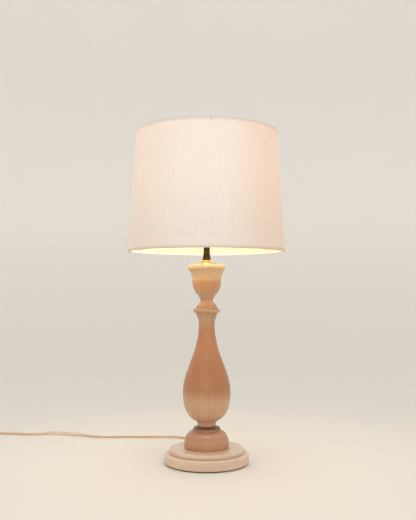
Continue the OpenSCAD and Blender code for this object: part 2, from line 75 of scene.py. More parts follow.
def smooth_path(points, steps):
    """Catmull-Rom curve through the points; each point is a tuple of any length."""
    last = len(points) - 1
    path = []
    for i in range(last):
        a, b, c, d = (points[min(max(k, 0), last)] for k in (i - 1, i, i + 1, i + 2))
        for k in range(steps):
            t = k / steps
            path.append(tuple(
                0.5 * (2 * q + (r - p) * t + (2 * p - 5 * q + 4 * r - s) * t * t
                       + (3 * q - p - 3 * r + s) * t ** 3)
                for p, q, r, s in zip(a, b, c, d)))
    path.append(tuple(points[last]))
    return path


def even_path(path, spacing):
    """The same path with its points at equal distances; the distance counts only x, y and z."""
    lengths = [0.0]
    for a, b in zip(path, path[1:]):
        lengths.append(lengths[-1] + math.dist(a[:3], b[:3]))
    count = round(lengths[-1] / spacing)
    even, i = [], 0
    for k in range(count + 1):
        want = lengths[-1] * k / count
        while i < len(path) - 2 and lengths[i + 1] < want:
            i += 1
        t = (want - lengths[i]) / max(lengths[i + 1] - lengths[i], 1e-9)
        even.append(tuple(between(p, q, t) for p, q in zip(path[i], path[i + 1])))
    return even


def mesh_piece(name, points, faces, sharp=35):
    """A smooth-shaded mesh object from points in millimetres."""
    mesh = bpy.data.meshes.new(name)
    mesh.from_pydata([[c * MM for c in p] for p in points], [], faces)
    mesh.validate()
    mesh.shade_smooth()
    mesh.set_sharp_from_angle(angle=math.radians(sharp))
    piece = bpy.data.objects.new(name, mesh)
    bpy.context.scene.collection.objects.link(piece)
    return piece


def skin(rings, first=0, closed=False):
    """Points and faces of a tube over closed rings of points, with flat ends unless it is closed."""
    size = len(rings[0])
    points = [p for ring in rings for p in ring]
    count = len(rings)
    faces = []
    for k in range(count if closed else count - 1):
        for i in range(size):
            j = (i + 1) % size
            n = (k + 1) % count
            faces.append([first + q for q in (k * size + i, k * size + j, n * size + j, n * size + i)])
    if not closed:
        faces.append([first + i for i in reversed(range(size))])
        faces.append([first + (count - 1) * size + i for i in range(size)])
    return points, faces


def join_skins(parts):
    """One mesh's points and faces from several lists of rings, each (rings, closed)."""
    points, faces = [], []
    for rings, closed in parts:
        more_points, more_faces = skin(rings, len(points), closed)
        points += more_points
        faces += more_faces
    return points, faces


def turned(outline, segments):
    """Rings of a solid of revolution about Z whose closed section is the outline of (r, z)."""
    rings = []
    for k in range(segments):
        a = 2 * math.pi * k / segments
        rings.append([(r * math.cos(a), r * math.sin(a), z) for r, z in outline])
    return rings


def swept(path, section_at, twist):
    """Rings along a path: section_at gives the (across, up) points at each of its points, and they
    are turned by twist degrees."""
    rings = []
    last = len(path) - 1
    for k, point in enumerate(path):
        ahead = Vector(path[min(k + 1, last)][:3]) - Vector(path[max(k - 1, 0)][:3])
        ahead.normalize()
        side = Vector((0, 0, 1)).cross(ahead)
        if side.length < 0.05:
            side = Vector((0, 1, 0)).cross(ahead)
        side.normalize()
        up = ahead.cross(side)
        turn = math.radians(twist[k])
        across = side * math.cos(turn) + up * math.sin(turn)
        over = up * math.cos(turn) - side * math.sin(turn)
        rings.append([tuple(Vector(point[:3]) + across * s + over * u) for s, u in section_at(k)])
    return rings


def place(piece, body, slot, material, *nodes):
    """Gives a piece its material and its body, and hides the CAD nodes that it stands for; slot is not
    used.
    """
    piece.data.materials.append(material)
    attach(piece, body)
    if nodes:
        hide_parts(*nodes)
    return piece


# ---- Lead: route, coil and tail ----

LEAD_W = 5.6             # width of the flat twin lead
LEAD_T = 2.9             # its thickness
LOBE = (LEAD_W - LEAD_T) / 2   # from the middle of the lead to the middle of each conductor
WEB = 0.8                # half the thickness of the web between the conductors
LEAD_STEP = 2.6          # between its cross-sections
CLEAR = 0.1              # from the floor, or from the tie
LYING = 3                # a point of the route lower than this lies on the floor
EXIT = (0, 108, 11)

# x, y, z and the angle of the lead's width from flat, in degrees
ROUTE = [
    (0, 108, 11, 90), (0, 122, 10, 90), (-1, 138, 6, 90), (-5, 158, 2.9, 90), (-16, 184, 2.9, 88),
    (-36, 208, 2.9, 84), (-64, 224, 2.9, 78), (-100, 229, 2.9, 72), (-140, 228, 2.9, 66),
    (-180, 230, 2.9, 60), (-220, 228, 2.9, 58), (-250, 232, 2.9, 72), (-280, 246, 2.9, 86),
    (-310, 256, 2.9, 90), (-340, 264, 2.9, 90), (-372, 261, 2.9, 84), (-404, 258, 2.9, 76),
    (-436, 264, 2.9, 80), (-468, 269, 2.9, 86), (-494, 269, 3.2, 90), (-508, 268.6, 3.6, 90)]
TAIL = [(-557, 224, 8.6, 84), (-558, 208, 6.4, 60), (-555, 192, 4.6, 30), (-550, 178, 4.4, 8),
        (-548, 168, 4.4, 0), (-548, 160, 4.4, 0)]

COIL_X, COIL_Y = -520, 232
COIL_MID_R = 33.5        # radius of the middle one of the three turns in each layer
TURN_PITCH = 3.0
LAYER_H = 5.8
TIE_T = 0.8
STEP_IN, STEP_UP, STEP_OUT = (390, 750), 960, (1260, 1620)   # where the coil changes track, degrees
STEP_SPAN = 60
COIL_START, COIL_END = 90, 1980

SPLIT_FROM, SPLIT_TO = -262, -378   # x of the stretch where the two conductors have come apart
SPLIT_GAP = 1.0          # how far each one stands off from its place there
SPLIT_EASE = 36


def coil_point(angle):
    """Three turns inwards in the lower layer, then two and a quarter outwards in the upper one."""
    inwards = sum(ease((angle - start) / STEP_SPAN) for start in STEP_IN)
    outwards = sum(ease((angle - start) / STEP_SPAN) for start in STEP_OUT)
    r = COIL_MID_R + TURN_PITCH * (1 - inwards + outwards)
    z = TIE_T + CLEAR + LEAD_W / 2 + LAYER_H * ease((angle - STEP_UP) / STEP_SPAN)
    a = math.radians(angle)
    return (COIL_X + r * math.cos(a), COIL_Y + r * math.sin(a), z, 90)


def apart(x):
    """How far each conductor stands off from its place at x."""
    return SPLIT_GAP * ease((SPLIT_FROM - x) / SPLIT_EASE) * ease((x - SPLIT_TO) / SPLIT_EASE)


coil = [coil_point(angle) for angle in range(COIL_START, COIL_END + 1, 6)]
run = smooth_path(ROUTE + [coil[0]], 8)[:-1]
tail = smooth_path([coil[-1]] + TAIL, 8)[1:]
laid = even_path(run + coil + tail, LEAD_STEP)


def settled(x, y, z, turn):
    """A point of the route, lowered to the floor as far as the lead's turn lets it."""
    if z >= LYING:
        return (x, y, z)
    return (x, y, z + CLEAR + apart(x) - LOBE * (1 - math.sin(math.radians(turn))))


lead_path = [settled(*point) for point in laid]
lead_twist = [point[3] for point in laid]

half_t = LEAD_T / 2
twin_section = (arc(LOBE, 0, half_t, -118, 118, 9) + [(0, WEB)]
                + arc(-LOBE, 0, half_t, 62, 298, 9) + [(0, -WEB)])
twin = swept(lead_path, lambda k: twin_section, lead_twist)


def strand(side):
    """Rings of one conductor of the split stretch, on the given side of the lead's middle."""
    def section_at(k):
        return arc(side * (LOBE + apart(lead_path[k][0])), 0, half_t - 0.02, 0, 340, 17)
    return swept(lead_path, section_at, lead_twist)


split = [k for k, point in enumerate(lead_path) if apart(point[0]) > 0.01]
lead_parts = [(twin[:split[0] + 1], False), (twin[split[-1]:], False)]
lead_parts += [(strand(side)[split[0] - 1:split[-1] + 2], False) for side in (-1, 1)]
lead = mesh_piece("lead", *join_skins(lead_parts), sharp=75)


# ---- Shader tools ----

def new_material(name):
    material = bpy.data.materials.new(name)
    material.use_nodes = True
    tree = material.node_tree
    tree.nodes.clear()
    surface = tree.nodes.new("ShaderNodeBsdfPrincipled")
    output = tree.nodes.new("ShaderNodeOutputMaterial")
    tree.links.new(surface.outputs["BSDF"], output.inputs["Surface"])
    return material, tree, surface


def put(tree, kind, inputs=None, **settings):
    """Adds a node, and links or sets its inputs by name or number."""
    node = tree.nodes.new("ShaderNode" + kind)
    for key, value in settings.items():
        setattr(node, key, value)
    for key, value in (inputs or {}).items():
        if isinstance(value, bpy.types.NodeSocket):
            tree.links.new(value, node.inputs[key])
        else:
            node.inputs[key].default_value = value
    return node


def maths(tree, operation, *values):
    return put(tree, "Math", dict(enumerate(values)), operation=operation).outputs[0]


def fit(tree, value, low, high, to_low=0.0, to_high=1.0):
    """Rescales a value smoothly from low..high to to_low..to_high, and stops it there."""
    inputs = {"Value": value, "From Min": low, "From Max": high, "To Min": to_low, "To Max": to_high}
    return put(tree, "MapRange", inputs, interpolation_type="SMOOTHSTEP").outputs["Result"]


def mix(tree, factor, a, b, mode="MIX"):
    node = put(tree, "Mix", {"Factor": factor}, data_type="RGBA", blend_type=mode)
    for socket, value in ((node.inputs[6], a), (node.inputs[7], b)):
        if isinstance(value, bpy.types.NodeSocket):
            tree.links.new(value, socket)
        else:
            socket.default_value = (*value, 1)
    return node.outputs[2]


def place_coords(tree):
    """The point in the object's own frame, in metres."""
    return put(tree, "TexCoord").outputs["Object"]


def stretched(tree, point, scale, turn=(0, 0, 0)):
    return put(tree, "Mapping", {"Vector": point, "Rotation": turn, "Scale": scale}).outputs[0]


def noise(tree, point, scale, detail, roughness=0.55, distortion=0.0):
    inputs = {"Vector": point, "Scale": scale, "Detail": detail, "Roughness": roughness,
              "Distortion": distortion}
    return put(tree, "TexNoise", inputs).outputs["Fac"]


def bump(tree, surface, height, distance, strength):
    inputs = {"Height": height, "Distance": distance, "Strength": strength}
    normal = put(tree, "Bump", inputs).outputs["Normal"]
    tree.links.new(normal, surface.inputs["Normal"])
    return normal


def link(tree, value, surface, name):
    tree.links.new(value, surface.inputs[name])


# ---- Materials ----

def wood(name, pale, deep, coat, along="z", roughness=(0.46, 0.58), painted_light_by_height=()):
    """Turned beech under satin lacquer: soft growth figure, fine fibres, short dark pores. Each
    (low, high, tint) entry of the height tints multiplies the colour by its tint above the height
    high, and fades out by the height low; these tints are painted light and shade, not the wood's
    colour."""
    material, tree, surface = new_material(name)
    turn = (0, 0, 0) if along == "z" else (0, math.radians(90), 0)
    grain = stretched(tree, place_coords(tree), (1, 1, 1), turn)
    figure = noise(tree, stretched(tree, grain, (26, 26, 3.2)), 1.0, 3.0, 0.5, 0.6)
    log = put(tree, "VectorMath", {0: grain, 1: (0.13, 0.045, 0)}, operation="ADD").outputs[0]
    rings = put(tree, "TexWave", {"Vector": stretched(tree, log, (1, 1, 0.10)), "Scale": 34.0,
                                  "Distortion": 5.0, "Detail": 2.0, "Detail Scale": 1.2},
                wave_type="RINGS", rings_direction="Z", wave_profile="SIN").outputs["Fac"]
    fibres = noise(tree, stretched(tree, grain, (620, 620, 9)), 1.0, 3.0, 0.6)
    flecks = noise(tree, stretched(tree, grain, (1500, 1500, 75)), 1.0, 1.0, 0.5)
    pores = fit(tree, flecks, 0.60, 0.70)
    shade = maths(tree, "ADD", maths(tree, "MULTIPLY", figure, 0.42),
                  maths(tree, "MULTIPLY", rings, 0.10))
    shade = maths(tree, "ADD", shade, maths(tree, "MULTIPLY", fibres, 0.52))
    colour = mix(tree, fit(tree, shade, 0.30, 0.78), pale, deep)
    darker = tuple(0.66 * c for c in deep)
    colour = mix(tree, maths(tree, "MULTIPLY", pores, 0.35), colour, darker)
    z = put(tree, "SeparateXYZ", {0: place_coords(tree)}).outputs[2]
    for low, high, tint in painted_light_by_height:
        colour = mix(tree, fit(tree, z, low, high), colour, mix(tree, 1.0, colour, tint, "MULTIPLY"))
    link(tree, colour, surface, "Base Color")
    link(tree, fit(tree, figure, 0.3, 0.7, *roughness), surface, "Roughness")
    surface.inputs["Coat Weight"].default_value = coat
    surface.inputs["Coat Roughness"].default_value = 0.11
    surface.inputs["Coat IOR"].default_value = 1.5
    surface.inputs["Specular IOR Level"].default_value = 0.25
    relief = maths(tree, "SUBTRACT", maths(tree, "MULTIPLY", fibres, 0.5), pores)
    bump(tree, surface, relief, 0.00006, 0.5)
    return material


def metal(name, colour, dull, roughness, wear=0.35):
    """Lathe-turned or drawn metal: fine rings along the axis, a little tarnish in patches."""
    material, tree, surface = new_material(name)
    point = place_coords(tree)
    patches = noise(tree, point, 70.0, 4.0, 0.6)
    specks = noise(tree, point, 900.0, 2.0, 0.6)
    tarnish = fit(tree, patches, 0.42, 0.72, 0.0, wear)
    link(tree, mix(tree, tarnish, colour, dull), surface, "Base Color")
    surface.inputs["Metallic"].default_value = 1.0
    dirt = maths(tree, "MULTIPLY", specks, 0.08)
    link(tree, maths(tree, "ADD", fit(tree, patches, 0.3, 0.75, *roughness), dirt), surface,
         "Roughness")
    rings = noise(tree, stretched(tree, point, (30, 30, 2600)), 1.0, 2.0, 0.6)
    bump(tree, surface, rings, 0.00002, 0.35)
    return material


def plastic(name, colour, roughness, grain=0.00003, specular=0.5):
    """Moulded plastic: a fine eroded texture and slight unevenness of colour."""
    material, tree, surface = new_material(name)
    point = place_coords(tree)
    clouds = noise(tree, point, 45.0, 3.0, 0.5)
    pits = noise(tree, point, 2600.0, 3.0, 0.7)
    darker = tuple(0.72 * c for c in colour)
    link(tree, mix(tree, fit(tree, clouds, 0.3, 0.75), colour, darker), surface, "Base Color")
    link(tree, fit(tree, pits, 0.25, 0.8, *roughness), surface, "Roughness")
    surface.inputs["Specular IOR Level"].default_value = specular
    bump(tree, surface, pits, grain, 0.6)
    return material


def linen(name, colour, slub, glow, rim_fade):
    """Plain-woven linen with slubs along both sets of threads, under a painted glow in its emission
    that stands for the bulb's light through it: the glow falls towards the lower edge, dies at the
    wire rings as painted shade, and dims through thick slubs. The glow has a colour for the left,
    the middle and the right: painted shading from side to side. rim_fade is two distances from an
    edge, and the share of the glow at each."""
    material, tree, surface = new_material(name)
    point = place_coords(tree)
    x, y, z = (put(tree, "SeparateXYZ", {0: point}).outputs[i] for i in range(3))
    around = maths(tree, "MULTIPLY", maths(tree, "ARCTAN2", x, maths(tree, "MULTIPLY", y, -1.0)),
                   SHADE_MEAN_R * MM)
    flat = put(tree, "CombineXYZ", {0: around, 1: z, 2: 0.0}).outputs[0]

    thread = 2 * math.pi / (THREAD_PITCH * MM)
    warp = maths(tree, "SINE", maths(tree, "MULTIPLY", around, thread))
    weft = maths(tree, "SINE", maths(tree, "MULTIPLY", z, thread))
    weave = maths(tree, "MULTIPLY", warp, weft)
    warp_slub = noise(tree, stretched(tree, flat, (1500, 34, 1)), 1.0, 2.0, 0.55)
    weft_slub = noise(tree, stretched(tree, flat, (30, 1500, 1)), 1.0, 2.0, 0.55)
    broad_warp = noise(tree, stretched(tree, flat, (520, 12, 1)), 1.0, 2.0, 0.5)
    broad_weft = noise(tree, stretched(tree, flat, (12, 520, 1)), 1.0, 2.0, 0.5)
    slubs = maths(tree, "ADD", maths(tree, "ADD", warp_slub, weft_slub),
                  maths(tree, "ADD", broad_warp, broad_weft))
    thick = fit(tree, slubs, 1.55, 2.45)
    link(tree, mix(tree, thick, colour, slub), surface, "Base Color")
    surface.inputs["Roughness"].default_value = 0.85
    surface.inputs["Specular IOR Level"].default_value = 0.2
    surface.inputs["Sheen Weight"].default_value = 0.15
    surface.inputs["Sheen Roughness"].default_value = 0.5
    relief = maths(tree, "ADD", maths(tree, "MULTIPLY", weave, 0.5), maths(tree, "MULTIPLY", slubs, 0.5))
    bump(tree, surface, relief, 0.0001, 0.35)

    # Painted light: the glow below stands for the bulb's light through the fabric, with painted shade
    # towards the lower edge and at the wire rings.
    height = fit(tree, z, SHADE_LOW * MM, (SHADE_LOW + GLOW_RISE * SHADE_H) * MM, GLOW_LOW, 1.0)
    edge = maths(tree, "MINIMUM", maths(tree, "SUBTRACT", z, SHADE_LOW * MM),
                 maths(tree, "SUBTRACT", SHADE_HIGH * MM, z))
    lit = maths(tree, "MULTIPLY", height, fit(tree, edge, *rim_fade))
    # Painted shadow, cut out of the glow, where the top trim's ends meet at the front.
    off_joint = maths(tree, "ABSOLUTE", maths(tree, "SUBTRACT", around, JOINT_X * MM))
    joint_low, joint_high = ((SHADE_HIGH - depth) * MM for depth in JOINT_DEPTHS)
    joint_shadow = maths(tree, "MULTIPLY", maths(tree, "LESS_THAN", off_joint, JOINT_HALF_W * MM),
                  fit(tree, z, joint_low, joint_high, 0.0, JOINT_SHADOW_DARK))
    lit = maths(tree, "MULTIPLY", lit, maths(tree, "SUBTRACT", 1.0, joint_shadow))
    lit = maths(tree, "MULTIPLY", lit, fit(tree, thick, 0.0, 1.0, 1.02, 0.95))
    # Painted shading from side to side: the glow is warmer at the left and the right than in the middle.
    left, middle, right = glow
    tone = mix(tree, fit(tree, x, *GLOW_LEFT), left, middle)
    tone = mix(tree, fit(tree, x, *GLOW_RIGHT), tone, right)
    tone = mix(tree, thick, tone, mix(tree, 1.0, tone, (1.0, 0.95, 0.88), "MULTIPLY"))
    level = put(tree, "CombineColor", {0: lit, 1: lit, 2: lit}).outputs[0]
    link(tree, mix(tree, 1.0, tone, level, "MULTIPLY"), surface, "Emission Color")
    surface.inputs["Emission Strength"].default_value = 1.0
    return material


def glowing(name, colour, strength):
    """Frosted bulb glass, lit from inside: it brightens from its neck to the filament."""
    material, tree, surface = new_material(name)
    point = place_coords(tree)
    z = put(tree, "SeparateXYZ", {0: point}).outputs[2]
    top = fit(tree, z, *BULB_NECK, 0.35, 1.0)
    frost = fit(tree, noise(tree, point, 1400.0, 2.0), 0.3, 0.7, 0.97, 1.03)
    lit = maths(tree, "MULTIPLY", top, frost)
    surface.inputs["Base Color"].default_value = (0.9, 0.88, 0.84, 1)
    surface.inputs["Roughness"].default_value = 0.35
    level = put(tree, "CombineColor", {0: lit, 1: lit, 2: lit}).outputs[0]
    link(tree, mix(tree, 1.0, colour, level, "MULTIPLY"), surface, "Emission Color")
    surface.inputs["Emission Strength"].default_value = strength
    return material


def felt_cloth(name, colour):
    material, tree, surface = new_material(name)
    point = place_coords(tree)
    fibres = noise(tree, point, 1900.0, 4.0, 0.75, 1.2)
    lighter = tuple(1.7 * c for c in colour)
    link(tree, mix(tree, fit(tree, fibres, 0.3, 0.72), colour, lighter), surface, "Base Color")
    surface.inputs["Roughness"].default_value = 0.95
    surface.inputs["Sheen Weight"].default_value = 0.5
    surface.inputs["Sheen Roughness"].default_value = 0.6
    bump(tree, surface, fibres, 0.0005, 0.9)
    return material


def lead_jacket(name, colour, copper):
    """Clear gold jacket over stranded copper: the strands' twist shows faintly through it."""
    material, tree, surface = new_material(name)
    point = place_coords(tree)
    strands = put(tree, "TexWave", {"Vector": point, "Scale": 240.0, "Distortion": 1.5, "Detail": 1.0},
                  wave_type="BANDS", bands_direction="DIAGONAL").outputs["Fac"]
    clouds = noise(tree, point, 60.0, 2.0)
    tint = maths(tree, "MULTIPLY", maths(tree, "ADD", strands, clouds), 0.3)
    link(tree, mix(tree, tint, colour, copper), surface, "Base Color")
    link(tree, fit(tree, clouds, 0.3, 0.7, 0.22, 0.34), surface, "Roughness")
    surface.inputs["Coat Weight"].default_value = 0.4
    surface.inputs["Coat Roughness"].default_value = 0.12
    bump(tree, surface, clouds, 0.0002, 0.3)
    return material


SHADE_LOW, SHADE_H = 399.5, 229.5
SHADE_HIGH = SHADE_LOW + SHADE_H
SHADE_MEAN_R = 142.0
THREAD_PITCH = 0.62
GLOW_LOW = 0.76          # glow at the lower edge, as a share of the glow higher up
GLOW_RISE = 0.72         # share of the shade's height at which the glow is full
GLOW_LEFT = (-0.125, -0.02)    # x between which the glow's left colour turns into the middle one
GLOW_RIGHT = (0.015, 0.125)    # and the middle one into the right one, in metres
# A painted shadow darkens the glow where the top trim's ends meet, at the front.
JOINT_X = 8.0            # where the top trim's ends meet, at the front
JOINT_HALF_W = 1.8
JOINT_DEPTHS = (11, 6)   # below the top edge, between which the joint's shadow fades in
JOINT_SHADOW_DARK = 0.35
BULB_NECK = (0.476, 0.505)     # heights between which the bulb's glass brightens, in metres

slots = {
    "felt": felt_cloth("felt", (0.085, 0.045, 0.028)),
    "wood_base": wood("wood_base", (0.76, 0.57, 0.43), (0.67, 0.475, 0.345), 1.0, "x"),
    # The column's height tints are painted light and shade, from the belly up: the shade's painted
    # shadow over the middle, a paler neck, the collar and the cup lightened and warmed as painted light
    # from the bulb, and a painted highlight along the cup's rim.
    "wood_column": wood("wood_column", (0.66, 0.40, 0.25), (0.57, 0.325, 0.19), 0.55,
                        painted_light_by_height=((0.112, 0.146, (0.76, 0.56, 0.41)), (0.170, 0.225, (1.09, 1.13, 1.14)),
                               (0.246, 0.270, (1.07, 1.38, 1.78)), (0.320, 0.333, (1.06, 0.88, 0.74)),
                               (0.339, 0.350, (1.15, 1.6, 1.9)))),
    # wood_dark's darkness is partly the wood's own and partly painted shade, for the shadow that fills
    # the cove above the bun.
    "wood_dark": wood("wood_dark", (0.25, 0.115, 0.07), (0.16, 0.075, 0.045), 0.4, "x"),
    "steel": metal("steel", (0.62, 0.62, 0.62), (0.42, 0.41, 0.39), (0.28, 0.42)),
    "lead_jacket": lead_jacket("lead_jacket", (0.80, 0.61, 0.42), (0.72, 0.49, 0.29)),
    "dark_plastic": plastic("dark_plastic", (0.045, 0.026, 0.016), (0.35, 0.55)),
    "brass": metal("brass", (0.80, 0.55, 0.24), (0.45, 0.28, 0.12), (0.16, 0.30)),
    "liner_card": plastic("liner_card", (0.17, 0.085, 0.04), (0.8, 0.95), 0.0001, 0.2),
    "cam_plastic": plastic("cam_plastic", (0.62, 0.58, 0.50), (0.35, 0.5)),
    "bulb_metal": metal("bulb_metal", (0.78, 0.78, 0.79), (0.55, 0.54, 0.53), (0.22, 0.36)),
    "bulb_glass": glowing("bulb_glass", (1.0, 0.77, 0.50), 92.0),
    "bulb_insulator": plastic("bulb_insulator", (0.012, 0.012, 0.016), (0.08, 0.16), 0.00001, 0.6),
    "frame_wire": metal("frame_wire", (0.76, 0.60, 0.36), (0.48, 0.36, 0.20), (0.22, 0.36)),
    "shade_lining": plastic("shade_lining", (0.47, 0.45, 0.39), (0.38, 0.5), 0.00001, 0.4),
    # The fabric's and the tape's glow colours are painted light. The tape's glow dies sooner at its
    # edges, as painted shade of the folded tape over the wire.
    "shade_fabric": linen("shade_fabric", (0.57, 0.57, 0.57), (0.54, 0.535, 0.53),
                          ((0.46, 0.31, 0.205), (0.47, 0.37, 0.29), (0.45, 0.245, 0.12)),
                          (0.0, 0.004, 0.6, 1.0)),
    "trim_tape": linen("trim_tape", (0.54, 0.52, 0.52), (0.50, 0.475, 0.47),
                       ((0.44, 0.29, 0.19), (0.45, 0.34, 0.26), (0.43, 0.23, 0.11)),
                       (0.0006, 0.0032, 0.4, 0.95)),
}
bun_wood = wood("bun_wood", (0.56, 0.29, 0.16), (0.465, 0.22, 0.112), 0.7, "x", (0.4, 0.5))
# The tapered neck's brass is nearly black: an antique finish, darkened far past it as painted shade for
# the shadow under the socket and a dark reflection.
neck_brass_painted_dark = metal("neck_brass_painted_dark", (0.05, 0.035, 0.018), (0.03, 0.02, 0.01), (0.2, 0.32), wear=0.6)

for subpart in frame["record"]["subparts"]:
    node = frame["nodes"][subpart["node"]]
    node.data.materials.clear()
    node.data.materials.append(slots[subpart["material_slot"]])
frame["nodes"]["bun"].data.materials[0] = bun_wood
frame["nodes"]["tapered_neck"].data.materials[0] = neck_brass_painted_dark


# ---- Lead's fittings ----

place(lead, "root", "lead_jacket", slots["lead_jacket"], "cord_run", "cord_coil", "cord_tail")

PLUG_X, PLUG_BACK = -548, 168
PLUG_SIDES = 32


def plug_ring(back, half_w, half_t, centre_z, corner):
    """A rounded cross-section of the plug at a distance from its back."""
    ring = []
    for i in range(PLUG_SIDES):
        a = 2 * math.pi * i / PLUG_SIDES
        c, s = math.cos(a), math.sin(a)
        across = math.copysign(abs(c) ** corner, c) * half_w
        up = math.copysign(abs(s) ** corner, s) * half_t
        ring.append((PLUG_X + across, PLUG_BACK - back, centre_z + up))
    return ring


# from the back, half width, half thickness, height of the middle, squareness
plug_stations = [(0, 3.9, 2.5, 4.4, 0.9), (0.5, 4.3, 2.9, 4.4, 0.9)]
for rib in range(3):
    back = 1.4 + 2.6 * rib
    middle = 4.5 + 0.45 * rib
    wide, thick = 4.6 + 0.9 * rib, 3.3 + 0.4 * rib
    plug_stations += [(back, wide, thick, middle, 0.8), (back + 1.0, wide, thick, middle + 0.15, 0.8),
                      (back + 1.3, wide - 0.7, thick - 0.5, middle + 0.2, 0.8),
                      (back + 2.1, wide - 0.5, thick - 0.4, middle + 0.3, 0.8)]
plug_stations += [(9.6, 8.2, 4.6, 5.9, 0.7), (11.5, 10.6, 5.2, 6, 0.6), (14, 11.6, 5.5, 6, 0.55)]
for groove in range(4):
    back = 15.5 + 2.2 * groove
    plug_stations += [(back, 11.7, 5.6, 6, 0.5), (back + 0.6, 11.5, 5.2, 6, 0.5),
                      (back + 1.2, 11.5, 5.2, 6, 0.5), (back + 1.8, 11.7, 5.6, 6, 0.5)]
plug_stations += [(25.5, 12.3, 5.8, 6, 0.45), (29.2, 12.9, 5.95, 6, 0.4), (29.8, 12.6, 5.65, 6, 0.4),
                  (30, 12.1, 5.2, 6, 0.4)]
plug = mesh_piece("plug", *skin([plug_ring(*station) for station in plug_stations]))
place(plug, "root", "dark_plastic", plastic("plug_brown", (0.09, 0.045, 0.022), (0.32, 0.5)),
      "plug_body")


def along_y(rings, z):
    """Rings turned about Z, laid over to run along +Y at the height z."""
    return [[(x, height, z + y) for x, y, height in ring] for ring in rings]


BUSH_R, BARREL_R, FLANGE_R = 2.9, 6.1, 8.5    # bore, part inside the base, part against its side
BUSH_START, BUSH_END, BASE_R = 62, 108, 79.8
RIB_PITCH = 4.2
bush_outline = [(BUSH_R, BUSH_START), (BARREL_R, BUSH_START), (BARREL_R, BASE_R + 0.1),
                (FLANGE_R - 0.4, BASE_R + 0.1), (FLANGE_R, BASE_R + 0.5)]
bush_outline += arc(FLANGE_R - 1.2, BASE_R + 1.6, 1.2, 0, 90, 5) + [(6.5, BASE_R + 3.6)]
for rib in range(5):
    y = BASE_R + 4.6 + RIB_PITCH * rib
    r = 6.6 - 0.45 * rib
    bush_outline += [(r, y), (r - 0.1, y + 2.2), (r - 0.9, y + 2.5), (r - 1.0, y + 3.8)]
bush_outline += [(4.3, 105.6)] + arc(3.9, 107.4, 0.6, 10, 90, 4) + [(BUSH_R, BUSH_END)]
bushing = mesh_piece("bushing", *skin(along_y(turned(bush_outline, 64), EXIT[2]), closed=True))
place(bushing, "root", "dark_plastic", slots["dark_plastic"], "cord_bushing")

# The tie's band round the wound lead
TIE_W = 6
TIE_REACH = 4.8          # from the middle turn to the band's inner and outer sides
TIE_BEND = 1.6
tie_in, tie_out = COIL_MID_R - TIE_REACH, COIL_MID_R + TIE_REACH
tie_top = TIE_T + 2 * LAYER_H + 0.3
high_z, low_z = tie_top - TIE_BEND, TIE_T + TIE_BEND
bends = [(tie_out - TIE_BEND, high_z), (tie_in + TIE_BEND, high_z),
         (tie_in + TIE_BEND, low_z), (tie_out - TIE_BEND, low_z)]
band = []
for quarter, (r, z) in enumerate(bends):
    band += arc(r, z, TIE_BEND, 90 * quarter, 90 * quarter + 90, 5)
middle_r, middle_z = (tie_in + tie_out) / 2, (TIE_T + tie_top) / 2


def band_ring(r, z):
    """The band's cross-section where its inner face is at (r, z)."""
    out = Vector((r - middle_r, z - middle_z)).normalized()
    face, side = TIE_T * 0.9, TIE_W / 2
    corners = ((0, -side), (face, -side + 0.3), (face, side - 0.3), (0, side))
    return [(COIL_X + r + out.x * t, COIL_Y + w, z + out.y * t) for t, w in corners]


tie = mesh_piece("tie", *skin([band_ring(r, z) for r, z in band], closed=True))
place(tie, "root", "dark_plastic", slots["dark_plastic"], "coil_tie")


# ---- Felt under the base ----

FELT_R, FELT_T = 76.8, 2.0
felt_outline = [(0, 0), (30, 0), (60, 0), (FELT_R - 0.5, 0)] + arc(FELT_R - 0.5, 0.5, 0.5, -60, 0, 3)
felt_outline += arc(FELT_R - 0.6, FELT_T - 0.6, 0.6, 0, 60, 3)
felt_outline += [(FELT_R - 0.6, FELT_T), (60, FELT_T), (30, FELT_T), (0, FELT_T)]


def disc_piece(name, outline, segments):
    """A turned piece whose outline starts and ends on the axis: its two middle points are shared."""
    inner = outline[1:-1]
    size = len(inner)
    points = [p for ring in turned(inner, segments) for p in ring]
    low, high = len(points), len(points) + 1
    points += [(0, 0, outline[0][1]), (0, 0, outline[-1][1])]
    faces = []
    for k in range(segments):
        n = (k + 1) % segments
        for i in range(size - 1):
            faces.append((k * size + i, n * size + i, n * size + i + 1, k * size + i + 1))
        faces.append((low, n * size, k * size))
        faces.append((high, k * size + size - 1, n * size + size - 1))
    return mesh_piece(name, points, faces)


felt = disc_piece("felt", felt_outline, 128)
place(felt, "root", "felt", slots["felt"], "felt_pad")


# ---- Shade ----

FABRIC_T = 0.5
LINER_T = 0.8
TRIM_T = 0.45
LOW_R = 149.45           # outside of the fabric at the shade's lower edge
TAPER = 14               # by how much that radius is less at the upper edge
EDGE_GAP = 0.6           # from each edge of the shade to the fabric and the lining, inside the trim


def fabric_r(z):
    """Outside of the fabric at a height."""
    return between(LOW_R, LOW_R - TAPER, (z - SHADE_LOW) / SHADE_H)


def inside_r(z):
    return fabric_r(z) - 1.45


